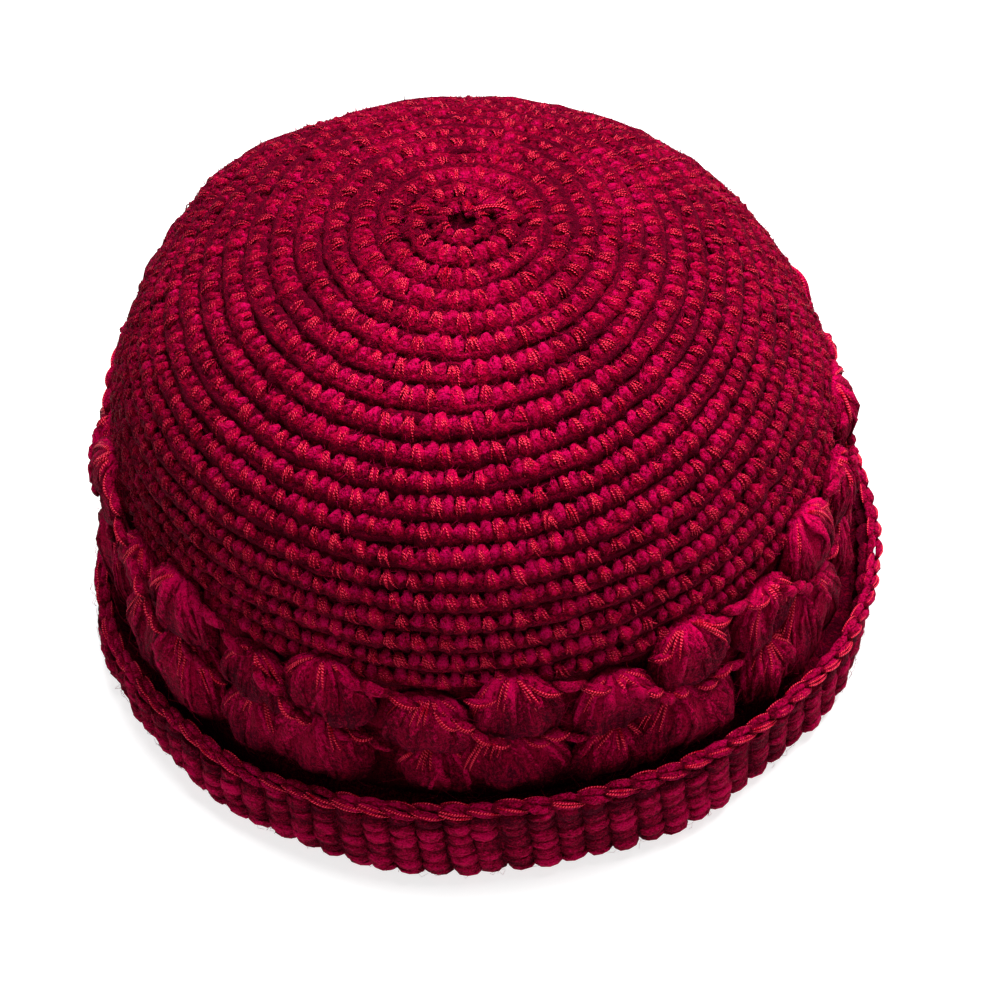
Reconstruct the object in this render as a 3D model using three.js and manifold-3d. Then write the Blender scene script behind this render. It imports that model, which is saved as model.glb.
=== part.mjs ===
// Crochet cloche hat: a soft domed crown, two rounds of raised puffs and a turned-up brim.
// Millimetres, +Z up. The hat rests on its fold at z = 0, its front faces -Y, x = 0 is the middle.
import * as THREE from 'three';
import { mergeVertices } from 'three/addons/utils/BufferGeometryUtils.js';
import Module from 'manifold-3d';

const wasm = await Module();
wasm.setup();

// Fabric
const wall = 4.5;
const pieceGap = 0.3;
const crownSegments = 32;
const ringSegments = 52;

// Crown: a dome of crochet rounds, one ridge and one groove each
const domeRadius = 90.5;
const domeHeight = 75.8;
const domeBaseZ = 54.4;
const domeRadiusPower = 2.62;
const domeHeightPower = 1.67;
const crownRounds = 20;
const roundPitch = 6.19;
const firstRidgeArc = 5.1;
const crownEndArc = 124.6;
const grooveDepth = 1.1;
const centreHoleRadius = 2.4;
const centreHoleDepth = 2.2;

// The soft dome slumps: how far its middle line is moved at the top and in its upper half
const topSlump = { x: 0.1, y: -7.0 };
const bowSlump = { x: -3.7, y: -1.7 };

// Puff rounds, the upper one under the crown and the lower one above the fold
const puffsPerRound = 26;
const firstPuffAngle = 5.6;
const bandTopRadius = 89.8;
const bandFootRadius = 91.0;
const bandFootZ = 16;
const puffRounds = [
  { name: 'upper_puff_round', topZ: 60.6, footZ: 40.6, puffZ: 50.6, proud: 6.0, shift: 0 },
  { name: 'lower_puff_round', topZ: 40.3, footZ: bandFootZ, puffZ: 30.4, proud: 5.8, shift: 0.5 },
];
const puffHalfWidth = 11.2;
const puffHalfHeight = 10.4;
const puffStagger = 1.2;
const puffReach = 110;

// Brim: the fold it turns on, and its wall, whose outer radius and top height go round the hat
const foldCorner = 6.0;
const foldInnerCorner = 2.5;
const foldRadius = 102.0;
const edgeHeight = 5.6;
const brimTable = [
  { angle: -180, topZ: 15.5, radius: 101.0 },
  { angle: -150, topZ: 14.5, radius: 100.6 },
  { angle: -120, topZ: 12.8, radius: 100.2 },
  { angle: -95, topZ: 12.2, radius: 100.2 },
  { angle: -80, topZ: 12.6, radius: 100.8 },
  { angle: -70, topZ: 16.0, radius: 101.4 },
  { angle: -60, topZ: 20.6, radius: 101.5 },
  { angle: -50, topZ: 23.0, radius: 101.4 },
  { angle: -38, topZ: 22.6, radius: 101.6 },
  { angle: -26, topZ: 26.0, radius: 101.7 },
  { angle: -15, topZ: 28.6, radius: 101.9 },
  { angle: 0, topZ: 30.8, radius: 102.0 },
  { angle: 15, topZ: 30.4, radius: 102.1 },
  { angle: 30, topZ: 29.2, radius: 102.5 },
  { angle: 45, topZ: 27.6, radius: 103.2 },
  { angle: 60, topZ: 24.0, radius: 103.9 },
  { angle: 70, topZ: 19.8, radius: 103.7 },
  { angle: 80, topZ: 15.6, radius: 103.2 },
  { angle: 95, topZ: 12.4, radius: 102.4 },
  { angle: 120, topZ: 12.6, radius: 101.6 },
  { angle: 150, topZ: 14.5, radius: 101.2 },
  { angle: 180, topZ: 15.5, radius: 101.0 },
];

const yarn = (name, hex, roughness) => {
  const material = new THREE.MeshStandardMaterial({ color: hex, roughness, metalness: 0 });
  material.name = name;
  return material;
};

// A closed outline of [radius, height] pairs turned about +Z, its start at the front of the hat
const turned = (outline, segments) => {
  const points = outline.map(([radius, z]) => new THREE.Vector2(radius, z));
  const geometry = new THREE.LatheGeometry(points, segments);
  geometry.rotateX(Math.PI / 2);
  return geometry;
};

// Merges the vertices that neighbouring faces share
const welded = (geometry) => {
  const bare = geometry.clone();
  for (const name of ['normal', 'uv']) {
    bare.deleteAttribute(name);
  }
  return mergeVertices(bare, 1e-4);
};

// Moves every vertex by a rule
const reshaped = (geometry, rule) => {
  const position = geometry.attributes.position;
  const point = new THREE.Vector3();
  for (let i = 0; i < position.count; i += 1) {
    point.fromBufferAttribute(position, i);
    rule(point);
    position.setXYZ(i, point.x, point.y, point.z);
  }
  return welded(geometry);
};

const toSolid = (geometry) => new wasm.Manifold(new wasm.Mesh({
  numProp: 3,
  vertProperties: new Float32Array(geometry.attributes.position.array),
  triVerts: new Uint32Array(geometry.index.array),
}));

const fromSolid = (solid) => {
  const mesh = solid.getMesh();
  const geometry = new THREE.BufferGeometry();
  geometry.setAttribute('position', new THREE.BufferAttribute(mesh.vertProperties.slice(), 3));
  geometry.setIndex(new THREE.BufferAttribute(mesh.triVerts.slice(), 1));
  return geometry;
};

const arcPoints = (radius, z, corner, fromAngle, toAngle, steps) => {
  const points = [];
  for (let i = 0; i <= steps; i += 1) {
    const angle = THREE.MathUtils.degToRad(fromAngle + (toAngle - fromAngle) * i / steps);
    points.push([radius + corner * Math.cos(angle), z + corner * Math.sin(angle)]);
  }
  return points;
};

// The dome's side line by arc length from its top: radius, height and outward normal
const sideSteps = 600;
const sideLine = [];
for (let i = 0; i <= sideSteps; i += 1) {
  const t = (Math.PI / 2) * i / sideSteps;
  const radius = domeRadius * Math.sin(t) ** (2 / domeRadiusPower);
  const z = domeBaseZ + domeHeight * Math.cos(t) ** (2 / domeHeightPower);
  const last = sideLine.at(-1);
  const arc = last ? last.arc + Math.hypot(radius - last.radius, z - last.z) : 0;
  sideLine.push({ arc, radius, z });
}

const sideAt = (arc) => {
  const found = sideLine.findIndex((entry) => entry.arc >= arc);
  const i = Math.max(1, found < 0 ? sideSteps : found);
  const [a, b] = [sideLine[i - 1], sideLine[i]];
  const share = (arc - a.arc) / (b.arc - a.arc);
  const length = b.arc - a.arc;
  return {
    radius: a.radius + (b.radius - a.radius) * share,
    z: a.z + (b.z - a.z) * share,
    normal: [(a.z - b.z) / length, (b.radius - a.radius) / length],
  };
};

// A point on the dome, moved out along its normal
const domePoint = (arc, out) => {
  const side = sideAt(arc);
  return [side.radius + side.normal[0] * out, side.z + side.normal[1] * out];
};

// The slump grows from nothing at the dome's base, so the crown still meets the band
const slump = (point) => {
  const share = THREE.MathUtils.clamp((point.z - domeBaseZ) / domeHeight, 0, 1);
  const lean = share * share * (3 - 2 * share);
  const bow = 6.75 * share * share * (1 - share);
  point.x += topSlump.x * lean + bowSlump.x * bow;
  point.y += topSlump.y * lean + bowSlump.y * bow;
};

// Crown outline: centre hole, ridge and groove of each round, rim, then the smooth inside
const crownOutline = () => {
  const topZ = domeBaseZ + domeHeight;
  const outline = [[0, topZ - centreHoleDepth], [centreHoleRadius, topZ - centreHoleDepth]];
  for (let round = 0; round < crownRounds; round += 1) {
    const ridge = firstRidgeArc + round * roundPitch;
    outline.push(domePoint(ridge, 0));
    if (round < crownRounds - 1) {
      outline.push(domePoint(ridge + roundPitch / 2, -grooveDepth));
    }
  }
  outline.push(domePoint(crownEndArc, -grooveDepth / 2));
  const insideSteps = 12;
  for (let i = 0; i < insideSteps; i += 1) {
    outline.push(domePoint(crownEndArc * (1 - i / insideSteps), -wall));
  }
  outline.push([0, topZ - wall]);
  return outline.reverse();
};

const crown = new THREE.Mesh(
  reshaped(turned(crownOutline(), crownSegments), slump),
  yarn('crown_yarn', 0x8e0a30, 0.9),
);
crown.name = 'crown';

// Puff rounds: a ring of fabric with a plump ellipsoid on it for each puff
const bandRadius = (z) => THREE.MathUtils.mapLinear(z, domeBaseZ, bandFootZ, bandTopRadius, bandFootRadius);

const puffRound = ({ name, topZ, footZ, puffZ, proud, shift }) => {
  const outline = [
    [bandRadius(topZ) - wall, topZ],
    [bandRadius(footZ) - wall, footZ],
    [bandRadius(footZ), footZ],
    [bandRadius(topZ), topZ],
  ];
  outline.push(outline[0]);
  let solid = toSolid(welded(turned(outline, ringSegments)));
  const spacing = 360 / puffsPerRound;
  for (let i = 0; i < puffsPerRound; i += 1) {
    const angle = THREE.MathUtils.degToRad(firstPuffAngle + (i + shift) * spacing);
    const radius = bandRadius(puffZ) - 1;
    const puff = new THREE.SphereGeometry(1, 7, 4);
    puff.rotateX(Math.PI / 2);
    puff.scale(puffHalfWidth, proud + 1, puffHalfHeight);
    puff.translate(0, -radius, puffZ + (i % 2 ? puffStagger : -puffStagger));
    puff.rotateZ(angle);
    solid = solid.add(toSolid(welded(puff)));
  }
  const space = [
    [bandRadius(footZ) - wall, footZ],
    [puffReach, footZ],
    [puffReach, topZ],
    [bandRadius(topZ) - wall, topZ],
  ];
  space.push(space[0]);
  solid = solid.intersect(toSolid(welded(turned(space, ringSegments))));
  const mesh = new THREE.Mesh(fromSolid(solid), yarn(`${name}_yarn`, 0x9a0c34, 0.92));
  mesh.name = name;
  return mesh;
};

// Brim: values from the table at any angle, smoothed between its rows
const brimAt = (degrees) => {
  const i = Math.max(1, brimTable.findIndex((row) => row.angle >= degrees));
  const [a, b] = [brimTable[i - 1], brimTable[i]];
  const share = THREE.MathUtils.smoothstep(degrees, a.angle, b.angle);
  return {
    topZ: a.topZ + (b.topZ - a.topZ) * share,
    radius: a.radius + (b.radius - a.radius) * share,
  };
};

// The wall is drawn with its top at nominalWallTop, then stretched to the table at each angle
const nominalWallTop = 24;
const legFootRadius = bandFootRadius;
const wallInner = foldRadius - wall;
const foldOutline = [
  [legFootRadius, bandFootZ - pieceGap],
  [legFootRadius - wall, bandFootZ - pieceGap],
  ...arcPoints(legFootRadius - wall + foldCorner, foldCorner, foldCorner, 180, 270, 3),
  ...arcPoints(foldRadius - foldCorner, foldCorner, foldCorner, 270, 360, 3),
  [foldRadius, nominalWallTop],
  [wallInner, nominalWallTop],
  ...arcPoints(wallInner - foldInnerCorner, wall + foldInnerCorner, foldInnerCorner, 360, 270, 2),
  ...arcPoints(legFootRadius + foldInnerCorner, wall + foldInnerCorner, foldInnerCorner, 270, 180, 2),
];
foldOutline.push(foldOutline[0]);

const brimRule = (point) => {
  const radius = Math.hypot(point.x, point.y);
  if (radius < (legFootRadius + wallInner) / 2 || point.z < foldCorner) {
    return;
  }
  const row = brimAt(THREE.MathUtils.radToDeg(Math.atan2(point.x, -point.y)));
  const share = (point.z - foldCorner) / (nominalWallTop - foldCorner);
  const wallTop = row.topZ - edgeHeight - pieceGap;
  const scale = (radius + (row.radius - foldRadius) * share) / radius;
  point.x *= scale;
  point.y *= scale;
  point.z = foldCorner + share * (wallTop - foldCorner);
};

const brim = new THREE.Mesh(
  reshaped(turned(foldOutline, ringSegments), brimRule),
  yarn('brim_yarn', 0x7d0829, 0.92),
);
brim.name = 'brim';

// Brim edge: the round chain border that follows the top of the wall
const edgeMiddle = foldRadius - wall / 2;
const edgeOutline = arcPoints(0, 0, 1, 0, 360, 7)
  .map(([across, up]) => [edgeMiddle + across * (wall / 2 + 0.3), (up - 1) * edgeHeight / 2]);
const edgeRule = (point) => {
  const radius = Math.hypot(point.x, point.y);
  const row = brimAt(THREE.MathUtils.radToDeg(Math.atan2(point.x, -point.y)));
  const scale = (radius + row.radius - foldRadius) / radius;
  point.x *= scale;
  point.y *= scale;
  point.z += row.topZ;
};

const brimEdge = new THREE.Mesh(
  reshaped(turned(edgeOutline, ringSegments), edgeRule),
  yarn('brim_edge_yarn', 0xa80f38, 0.9),
);
brimEdge.name = 'brim_edge';

const hat = new THREE.Group();
hat.add(crown, ...puffRounds.map(puffRound), brim, brimEdge);
export default hat;
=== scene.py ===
# %% [markdown]
# # A crochet cloche hat
# The hat is one thick crimson fabric: a dome worked round and round from its closed top, two bands
# of puffs, and a brim that turns up and shows the fabric's reverse. A thin twisted red thread runs
# along the yarn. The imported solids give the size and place, and this script lays the yarn on them.
# Sizes are in millimetres, as a maker would measure them, and become metres when a mesh is made.

import bpy
import numpy as np
from mathutils import Matrix, Vector


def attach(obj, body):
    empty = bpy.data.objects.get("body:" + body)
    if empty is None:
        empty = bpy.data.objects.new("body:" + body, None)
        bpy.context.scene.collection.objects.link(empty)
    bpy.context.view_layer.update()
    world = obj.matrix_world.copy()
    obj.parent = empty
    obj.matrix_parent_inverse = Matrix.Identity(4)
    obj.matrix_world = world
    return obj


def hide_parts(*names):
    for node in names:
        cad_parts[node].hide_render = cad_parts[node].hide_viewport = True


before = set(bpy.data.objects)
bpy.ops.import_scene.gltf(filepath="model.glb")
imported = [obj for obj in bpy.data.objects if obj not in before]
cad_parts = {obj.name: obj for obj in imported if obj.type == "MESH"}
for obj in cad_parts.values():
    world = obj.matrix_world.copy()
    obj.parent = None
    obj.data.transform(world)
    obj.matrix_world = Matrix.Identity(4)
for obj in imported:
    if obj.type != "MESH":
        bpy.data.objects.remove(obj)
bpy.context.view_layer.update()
print("solids:", sorted(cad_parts))

# %% [markdown]
# ## The hat's form
# Everything hangs on one side line: its distance from the top along the fabric gives a radius, a
# height and an outward direction. The dome is rounder than a sphere at its shoulder, so a power
# curve fits it better than a circle. A soft crown never stands straight, so its middle line leans.

# %% Sizes
MM = 0.001
TURN = 2 * np.pi
DOME = dict(radius=90.5, height=75.8, base_z=54.4, radius_power=2.62, height_power=1.67)
TOP_SLUMP = np.array([0.1, -7.0])
BOW_SLUMP = np.array([-3.7, -1.7])
ROUND_PITCH = 6.19
FIRST_RIDGE = 5.1
ROUNDS = 20
STITCHES_ADDED = 6
MOST_STITCHES = 84
BAND_RADIUS = 94.0
BAND_FOOT_Z = 16.0
BAND_FOOT_RADIUS = 91.0
EDGE_HEIGHT = 5.6
rng = np.random.default_rng(26)


# %% The side line
def side_line(steps=900):
    """Radius R sin(t)^(2/p) and height H cos(t)^(2/q) as t goes from top to base, by arc length.

    Below the base a straight line goes on down to the foot of the band.
    """
    t = np.linspace(0, np.pi / 2, steps)
    radius = DOME["radius"] * np.sin(t) ** (2 / DOME["radius_power"])
    z = DOME["base_z"] + DOME["height"] * np.cos(t) ** (2 / DOME["height_power"])
    foot = np.linspace(0, 1, 40)[1:]
    radius = np.append(radius, radius[-1] + foot * (BAND_FOOT_RADIUS - radius[-1]))
    z = np.append(z, z[-1] + foot * (BAND_FOOT_Z - z[-1]))
    arc = np.append(0, np.cumsum(np.hypot(np.diff(radius), np.diff(z))))
    normal_r = -np.gradient(z, arc)
    normal_z = np.gradient(radius, arc)
    length = np.hypot(normal_r, normal_z)
    return arc, radius, z, normal_r / length, normal_z / length


ARC, SIDE_RADIUS, SIDE_Z, SIDE_NORMAL_R, SIDE_NORMAL_Z = side_line()


def eased(share):
    """A share from 0 to 1 that starts and stops gently: 3 share^2 - 2 share^3."""
    return share * share * (3 - 2 * share)


def slumped(theta, radius, z):
    """Turns radius and height to the angle from the front, then moves them by the lean at that height.

    The lean is an eased share of the height. The bow is a hump whose top is 1: 27/4 share^2 (1 - share).
    """
    share = np.clip((z - DOME["base_z"]) / DOME["height"], 0, 1)
    lean = eased(share)
    bow = 27 / 4 * share**2 * (1 - share)
    x = radius * np.sin(theta) + TOP_SLUMP[0] * lean + BOW_SLUMP[0] * bow
    y = -radius * np.cos(theta) + TOP_SLUMP[1] * lean + BOW_SLUMP[1] * bow
    return np.stack(np.broadcast_arrays(x, y, z), axis=-1)


SHOULDER_ARC = 80.0
SHOULDER_REACH = 24.0
# Soft corners at the back left and the back right: angle from the front, height and width.
SHOULDERS = [(-2.34, 2.8, 0.035), (2.15, 2.3, 0.10)]


def shoulder_swell(theta, arc):
    """Each corner is height exp((cos(turn from its angle) - 1) / width), times exp(-(arc share)^2).

    The arc share is the distance from the shoulder along the side line, over its reach.
    """
    down = np.exp(-((arc - SHOULDER_ARC) / SHOULDER_REACH) ** 2)
    corners = [height * np.exp((np.cos(theta - angle) - 1) / width) for angle, height, width in SHOULDERS]
    return sum(corners) * down


def on_side(theta, arc, out):
    """The point `arc` down the side line and `theta` round it, moved `out` along the fabric's normal."""
    out = out + shoulder_swell(theta, arc)
    radius = np.interp(arc, ARC, SIDE_RADIUS) + out * np.interp(arc, ARC, SIDE_NORMAL_R)
    z = np.interp(arc, ARC, SIDE_Z) + out * np.interp(arc, ARC, SIDE_NORMAL_Z)
    return slumped(theta, radius, z)


def side_normal(theta, arc):
    """The fabric's outward direction at that arc and angle."""
    across = np.interp(arc, ARC, SIDE_NORMAL_R)
    up = np.interp(arc, ARC, SIDE_NORMAL_Z)
    return np.stack(np.broadcast_arrays(across * np.sin(theta), -across * np.cos(theta), up), axis=-1)


def degrees_round(theta):
    """Degrees from the front, from -180 to 180."""
    return (np.degrees(theta) + 180) % 360 - 180


print("side line:", round(float(ARC[-1]), 1), "mm long, top at", round(float(SIDE_Z[0]), 1))

# %% [markdown]
# ## Mesh helpers
# Yarn could be a curve with a round bevel, but hundreds of strands are quicker and easier to shape
# as arrays: a strand is a grid whose rows follow the path and whose columns go round it. The
# fabric's normal steers every ring, so a strand never twists on itself.


# %% Grids
def unit(vectors):
    """Each vector divided by its length."""
    return vectors / np.maximum(np.linalg.norm(vectors, axis=-1, keepdims=True), 1e-9)


def grid_faces(rows, columns, close_rows, close_columns):
    """The four corners of each cell of a grid, wrapping round where it closes on itself."""
    i = np.arange(rows if close_rows else rows - 1)[:, None]
    j = np.arange(columns if close_columns else columns - 1)[None, :]
    i_next, j_next = (i + 1) % rows, (j + 1) % columns
    corners = np.broadcast_arrays(
        i * columns + j, i * columns + j_next, i_next * columns + j_next, i_next * columns + j
    )
    return np.stack(corners, axis=-1).reshape(-1, 4)


def end_faces(columns, first, flip):
    """Strips of four-cornered faces that close a ring of an even number of points."""
    k = np.arange(columns // 2 - 1)
    faces = first + np.stack([k, k + 1, columns - 2 - k, columns - 1 - k], axis=-1)
    return faces[:, ::-1] if flip else faces


def rings_mesh(rings, along, closed):
    """Shapes from rings of points: faces join each ring to the next, and open ends are filled in."""
    shapes, samples, sides = rings.shape[:3]
    faces = grid_faces(samples, sides, closed, True)
    row, column = np.divmod(np.arange(len(faces)), sides)
    row_next = row + 1 if closed else np.minimum(row + 1, samples - 1)
    low, high = along[:, row], along[:, row_next]
    turn = np.broadcast_to(column / sides, low.shape)
    uv = np.stack([
        np.stack([low, low, high, high], axis=-1),
        np.stack([turn, turn + 1 / sides, turn + 1 / sides, turn], axis=-1),
    ], axis=-1)
    if not closed:
        last = (samples - 1) * sides
        caps = np.concatenate([end_faces(sides, 0, True), end_faces(sides, last, False)])
        faces = np.concatenate([faces, caps])
        cap_uv = np.zeros((shapes, len(caps), 4, 2))
        cap_uv[..., 0] = along[:, :1, None]
        uv = np.concatenate([uv, cap_uv], axis=1)
    faces = faces[None] + (np.arange(shapes) * samples * sides)[:, None, None]
    return dict(points=rings.reshape(-1, 3), faces=faces.reshape(-1, 4), uv=uv.reshape(-1, 4, 2),
                shade=np.full(rings[..., 0].size, 0.5))


# %% Strands
# Painted shade on the strands: a level, and how it grows lighter with height out and darker lower down.
SHADE_LEVEL = 0.66
SHADE_PER_OUT = 0.25
SHADE_PER_DOWN = 0.34
OPEN_RELIEF = 0.8
STRAY_ALONG = 40


def tubes(paths, normals, radii, sides, closed=False, flat=1.0, lumps=0.0,
          out=None, down=None, open_share=0.0):
    """Strands: round each path point, radius times (cos along the normal, sin across the path).

    Lumps are a random share of the radius added at every point of every ring. Where the path's height
    out of the fabric is given, a painted shade is worked out: lighter with each point's height and
    darker with its place down, as if lit from above, and both less where the fabric lies open.
    """
    strands, samples = paths.shape[:2]
    if closed:
        step = np.roll(paths, -1, axis=1) - np.roll(paths, 1, axis=1)
    else:
        step = np.gradient(paths, axis=1)
    tangent = unit(step)
    across = unit(np.cross(tangent, normals))
    lift = np.cross(across, tangent)
    turn = np.arange(sides) / sides * TURN
    radii = np.broadcast_to(radii, (strands, samples))[:, :, None, None]
    ring = flat * np.cos(turn)[:, None] * lift[:, :, None]
    ring = ring + np.sin(turn)[:, None] * across[:, :, None]
    lengths = np.linalg.norm(np.diff(paths, axis=1, append=paths[:, :1]), axis=-1)
    along = rng.uniform(0, STRAY_ALONG, (strands, 1)) + np.concatenate(
        [np.zeros((strands, 1)), np.cumsum(lengths, axis=1)], axis=1)
    if lumps:
        radii = radii * (1 + rng.normal(0, lumps, ring.shape[:3] + (1,)))
    shape = rings_mesh(paths[:, :, None] + radii * ring, along, closed)
    if out is not None:
        height = out[..., None] + np.sum(radii * ring * normals[:, :, None], axis=-1)
        below = down[..., None] - np.sum(radii * ring * up_side(normals)[:, :, None], axis=-1)
        deep = 1 - OPEN_RELIEF * np.asarray(open_share)[..., None]
        # Painted shade: lighter high on a strand, darker low on it and deep in the fabric.
        shade = SHADE_LEVEL + SHADE_PER_OUT * height * deep - SHADE_PER_DOWN * below * deep
        shape["shade"] = np.clip(shade, 0, 1).ravel()
    return shape


def up_side(normals):
    """The direction up the fabric: straight up, less its share along the normal."""
    return unit(np.array([0.0, 0.0, 1.0]) - normals * normals[..., 2:])


# %% Pieces
def joined(parts):
    """Several sets of points, faces and face-corner values as one set."""
    start = np.cumsum([0] + [len(part["points"]) for part in parts[:-1]])
    return dict(
        points=np.concatenate([part["points"] for part in parts]),
        faces=np.concatenate([part["faces"] + s for part, s in zip(parts, start)]),
        uv=np.concatenate([part["uv"] for part in parts]),
        shade=np.concatenate([part["shade"] for part in parts]),
    )


def piece_from(name, shape, material, replaces=()):
    """One smooth mesh in metres from points in millimetres, riding on the hat."""
    mesh = bpy.data.meshes.new(name)
    faces = shape["faces"].astype(np.int32)
    corners = faces.shape[1]
    mesh.vertices.add(len(shape["points"]))
    mesh.vertices.foreach_set("co", (shape["points"] * MM).astype(np.float32).ravel())
    mesh.loops.add(faces.size)
    mesh.loops.foreach_set("vertex_index", faces.ravel())
    mesh.polygons.add(len(faces))
    mesh.polygons.foreach_set("loop_start", np.arange(len(faces), dtype=np.int32) * corners)
    mesh.update(calc_edges=True)
    mesh.polygons.foreach_set("use_smooth", np.ones(len(faces), dtype=bool))
    mesh.uv_layers.new(name="yarn").data.foreach_set("uv", shape["uv"].astype(np.float32).ravel())
    shade = mesh.attributes.new("shade", "FLOAT", "POINT")
    shade.data.foreach_set("value", shape["shade"].astype(np.float32))
    mesh.materials.append(material)
    piece = bpy.data.objects.new(name, mesh)
    bpy.context.scene.collection.objects.link(piece)
    if replaces:
        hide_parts(*replaces)
    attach(piece, "root")
    print(f"{name}: {(corners - 2) * len(faces)} triangles")


# %% [markdown]
# ## Materials
# The yarn is soft and brushed, with almost no gloss, so its colour, its fibre bump and a sheen at
# grazing angles do the work, and a shade value on each mesh paints light and shade into the colour.
# The red thread is a tight twist, which shows as a row of beads with a painted glint. Patterns
# follow the strand: the first texture coordinate is millimetres along it and the second is the turn
# round it. A small class lets shader maths be written as plain expressions.


# %% Shader maths
class Value:
    """A number socket that adds a Math node for each operation on it."""

    def __init__(self, tree, socket):
        self.tree = tree
        self.socket = socket

    def _math(self, operation, *inputs, clamp=False):
        """A Math node with a link or a number for each of its inputs."""
        node = self.tree.nodes.new("ShaderNodeMath")
        node.operation = operation
        node.use_clamp = clamp
        for slot, value in zip(node.inputs, inputs):
            if isinstance(value, Value):
                self.tree.links.new(value.socket, slot)
            else:
                slot.default_value = value
        return Value(self.tree, node.outputs[0])

    def __add__(self, other):
        return self._math("ADD", self, other)

    def __radd__(self, other):
        return self._math("ADD", other, self)

    def __sub__(self, other):
        return self._math("SUBTRACT", self, other)

    def __rsub__(self, other):
        return self._math("SUBTRACT", other, self)

    def __mul__(self, other):
        return self._math("MULTIPLY", self, other)

    def __rmul__(self, other):
        return self._math("MULTIPLY", other, self)

    def __pow__(self, other):
        return self._math("POWER", self, other)

    def sine(self):
        return self._math("SINE", self)

    def cosine(self):
        return self._math("COSINE", self)

    def clamped(self):
        """The value held between 0 and 1."""
        return self._math("ADD", self, 0.0, clamp=True)


# %% A finish and its nodes
def set_sockets(node, values):
    """Constants on a shader's own sockets, by their names."""
    for name, value in values.items():
        node.inputs[name].default_value = value


class Finish:
    """A material with one Principled shader, and a way to add any other node to it."""

    def __init__(self, name, roughness, sheen, sheen_tint):
        self.material = bpy.data.materials.new(name)
        self.material.use_nodes = True
        self.tree = self.material.node_tree
        self.shader = self.tree.nodes["Principled BSDF"]
        set_sockets(self.shader, {
            "Roughness": roughness, "Sheen Weight": sheen, "Sheen Roughness": 0.45,
            "Sheen Tint": (*sheen_tint, 1), "Specular IOR Level": 0.04,
            "Specular Tint": (1.0, 0.06, 0.16, 1),
        })

    def node(self, kind, settings=None, inputs=None):
        """Any node: its settings first, then the values or links of its sockets."""
        node = self.tree.nodes.new(kind)
        for name, value in (settings or {}).items():
            setattr(node, name, value)
        for name, value in (inputs or {}).items():
            self.feed(node.inputs[name], value)
        return node

    def feed(self, socket, value):
        """A link or a constant for a socket, whichever the value is."""
        if isinstance(value, Value):
            self.tree.links.new(value.socket, socket)
        elif isinstance(value, bpy.types.NodeSocket):
            self.tree.links.new(value, socket)
        else:
            socket.default_value = value

    def value(self, node, output):
        """One output of a node as a Value."""
        return Value(self.tree, node.outputs[output])

    def strand(self):
        """Millimetres along the strand, and the turn round it from 0 to 1."""
        uv = self.node("ShaderNodeUVMap", {"uv_map": "yarn"})
        parts = self.node("ShaderNodeSeparateXYZ", inputs={"Vector": uv.outputs["UV"]})
        return self.value(parts, "X"), self.value(parts, "Y")

    def fibres(self, per_mm, radius, twist):
        """Noise on a twisted cylinder, so that streaks run along the strand with no seam round it."""
        along, turn = self.strand()
        angle = (turn + along * twist) * TURN
        place = self.node("ShaderNodeCombineXYZ")
        self.feed(place.inputs["X"], along * per_mm)
        self.feed(place.inputs["Y"], angle.cosine() * radius)
        self.feed(place.inputs["Z"], angle.sine() * radius)
        return self.noise(place.outputs["Vector"], 1.0, detail=3.0, roughness=0.75)

    def noise(self, vector, scale, detail=2.0, roughness=0.6):
        """Cloudy noise from 0 to 1 at a place, with its grains in each of the place's units."""
        node = self.node("ShaderNodeTexNoise", inputs={
            "Vector": vector, "Scale": scale, "Detail": detail, "Roughness": roughness,
        })
        return self.value(node, "Fac")

    def mix(self, share, low, high):
        """Two colours mixed by a share: low (1 - share) + high share.

        The node's sockets repeat their names, so they are taken by number.
        """
        node = self.node("ShaderNodeMix", {"data_type": "RGBA"})
        for number, value in ((0, share), (6, low), (7, high)):
            self.feed(node.inputs[number], (*value, 1) if isinstance(value, tuple) else value)
        return node.outputs[2]

    def bump(self, height, strength, distance_mm):
        """Tilts the surface's shading as if a height of 1 stood out by that distance."""
        node = self.node("ShaderNodeBump", inputs={
            "Height": height, "Strength": strength, "Distance": distance_mm * MM,
        })
        self.feed(self.shader.inputs["Normal"], node.outputs["Normal"])


# %% Colours and finishes
DEEP = (0.056, 0.0003, 0.0062)
CRIMSON = (0.190, 0.0003, 0.0140)
BRIGHT = (0.37, 0.0007, 0.043)
RED = (0.34, 0.0003, 0.012)
# The thread's painted glint colour, at the crest of each bead.
RED_GLINT = (1.0, 0.055, 0.125)
# Grains of a noise in a metre, how strongly each shows, and the millimetres from bead to bead.
FUZZ_SCALE = 1900.0
CLUMP_SCALE = 850.0
PATCH_SCALE = 70.0
FADE_SCALE = 330.0
FIBRE_CONTRAST = 1.6
FUZZ_CONTRAST = 1.3
PATCH_CONTRAST = 0.9
FADE_CONTRAST = 5.0
BEAD_PITCH = 0.7


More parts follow.
